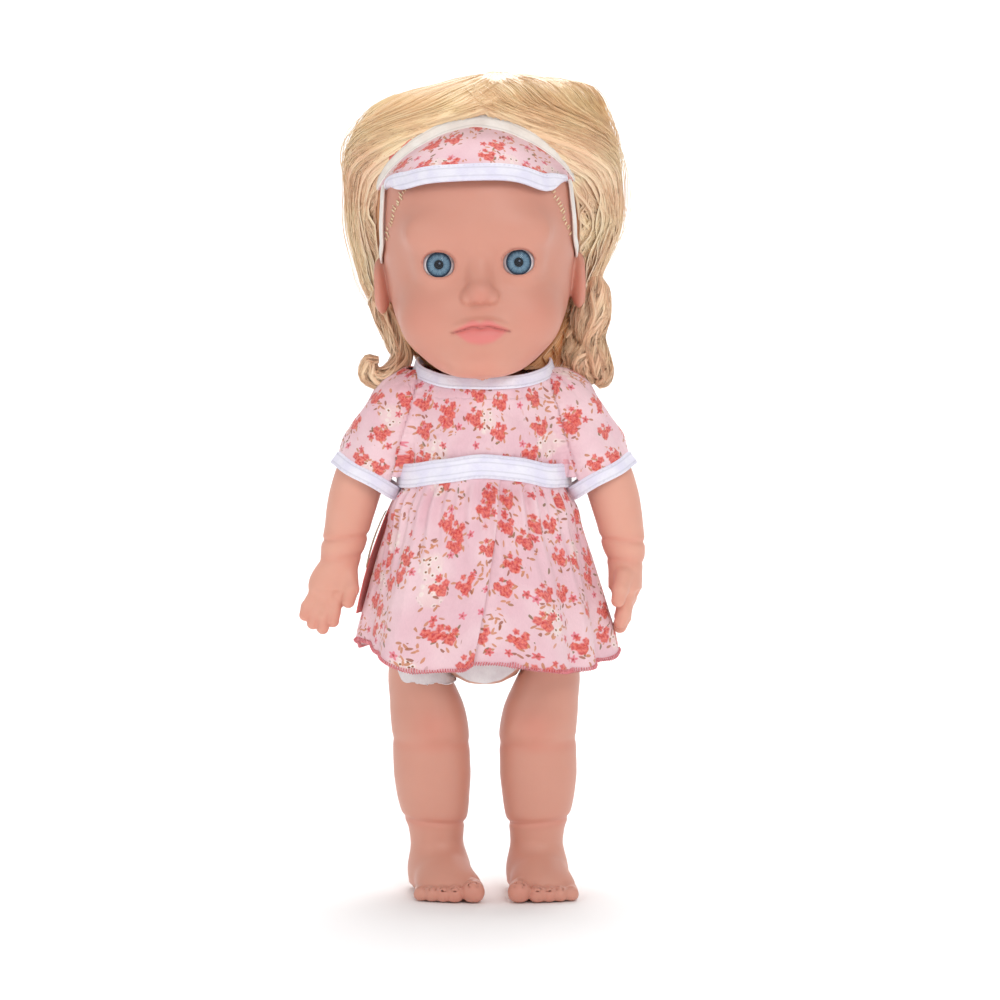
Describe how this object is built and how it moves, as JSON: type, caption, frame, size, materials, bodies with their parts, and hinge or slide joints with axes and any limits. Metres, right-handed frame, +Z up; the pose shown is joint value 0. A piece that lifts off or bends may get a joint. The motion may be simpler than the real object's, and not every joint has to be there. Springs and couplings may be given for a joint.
{
  "type": "interactive baby doll",
  "caption": "Standing soft-vinyl baby doll with rooted wavy hair, inset eyes, turning head, arms and legs, a printed cotton dress, a sun visor and a hidden press-to-talk sound unit.",
  "frame": {"origin": "bottom centre of the bounding box, on the plane the soles stand on", "axes": "+Z up, the doll faces -Y, +X is the doll's own left"},
  "size_m": [0.145, 0.1242, 0.3485],
  "materials": {
    "vinyl_skin": "soft satin vinyl, warm skin tone with a faint blush",
    "torso_plastic": "moulded, fine matte texture",
    "white_plastic": "smooth",
    "black_plastic": "matte",
    "print_cotton": "thin plain-woven cotton printed with small flowers",
    "white_cotton": "white twill binding and knit",
    "hair_fibre": "glossy pale blonde synthetic fibre",
    "iris_print": "printed blue iris under a clear dome",
    "clear_dome": "clear and glossy",
    "button_pink": "smooth",
    "steel": "zinc plated",
    "cell_wrap": "glossy wrapped can",
    "board_green": "solder mask"
  },
  "bodies": {
    "torso": {"torso_front_shell": "torso_plastic", "torso_back_shell": "torso_plastic", "torso_screw_1": "steel", "torso_screw_2": "steel", "torso_screw_3": "steel", "torso_screw_4": "steel", "neck_plug": "torso_plastic", "speaker_frame": "steel", "speaker_cone": "black_plastic", "speaker_magnet": "steel", "circuit_board": "board_green", "sound_chip": "black_plastic", "battery_tray": "black_plastic", "battery_1": "cell_wrap", "battery_2": "cell_wrap", "battery_3": "cell_wrap", "contact_plate_top": "steel", "contact_plate_bottom": "steel", "battery_door": "torso_plastic", "battery_door_screw": "steel", "switch_housing": "white_plastic", "button_spring": "steel", "panties": "white_cotton", "dress_bodice": "print_cotton", "collar_binding": "white_cotton", "waistband": "white_cotton", "skirt_left": "print_cotton", "skirt_right": "print_cotton", "sleeve_left": "print_cotton", "sleeve_right": "print_cotton", "back_closure": "white_cotton"},
    "head": {"head_shell": "vinyl_skin", "eyeball_left": "white_plastic", "eyeball_right": "white_plastic", "iris_left": "iris_print", "iris_right": "iris_print", "cornea_left": "clear_dome", "cornea_right": "clear_dome", "eye_cup_left": "white_plastic", "eye_cup_right": "white_plastic", "hair": "hair_fibre", "visor_brim": "print_cotton", "visor_trim": "white_cotton", "visor_band": "white_cotton", "visor_strap": "white_cotton"},
    "arm_left": {"arm_left": "vinyl_skin", "shoulder_hub_left": "white_plastic", "cuff_left": "white_cotton"},
    "arm_right": {"arm_right": "vinyl_skin", "shoulder_hub_right": "white_plastic", "cuff_right": "white_cotton"},
    "leg_left": {"leg_left": "vinyl_skin", "hip_hub_left": "white_plastic"},
    "leg_right": {"leg_right": "vinyl_skin", "hip_hub_right": "white_plastic"},
    "push_button": {"push_button": "button_pink"},
    "switch_slider": {"switch_slider": "black_plastic"}
  },
  "joints": [
    {"name": "neck_turn", "type": "hinge", "parent": "torso", "child": "head", "pos_m": [0.00435, 0.0001, 0.226], "axis": [0, 0, 1], "range_deg": [-70, 70], "deforming": ["collar_binding"]},
    {"name": "shoulder_left", "type": "hinge", "parent": "torso", "child": "arm_left", "pos_m": [0.03185, -0.0019, 0.202], "axis": [-1, 0, 0], "range_deg": [-60, 90], "deforming": ["sleeve_left"]},
    {"name": "shoulder_right", "type": "hinge", "parent": "torso", "child": "arm_right", "pos_m": [-0.02315, -0.0019, 0.202], "axis": [-1, 0, 0], "range_deg": [-60, 90], "deforming": ["sleeve_right"]},
    {"name": "hip_left", "type": "hinge", "parent": "torso", "child": "leg_left", "pos_m": [0.02535, -0.0019, 0.108], "axis": [-0.9063, 0, 0.4226], "range_deg": [-30, 90], "deforming": ["skirt_left"]},
    {"name": "hip_right", "type": "hinge", "parent": "torso", "child": "leg_right", "pos_m": [-0.01665, -0.0019, 0.108], "axis": [-0.9063, 0, -0.4226], "range_deg": [-30, 90], "deforming": ["skirt_right"]},
    {"name": "belly_button_press", "type": "slide", "parent": "torso", "child": "push_button", "axis": [0, 1, 0], "range_m": [0, 0.0015], "stiffness_N_per_m": 400, "springref_m": -0.002, "deforming": ["button_spring"]},
    {"name": "power_switch_slide", "type": "slide", "parent": "torso", "child": "switch_slider", "axis": [1, 0, 0], "range_m": [-0.0015, 0.0015]}
  ]
}
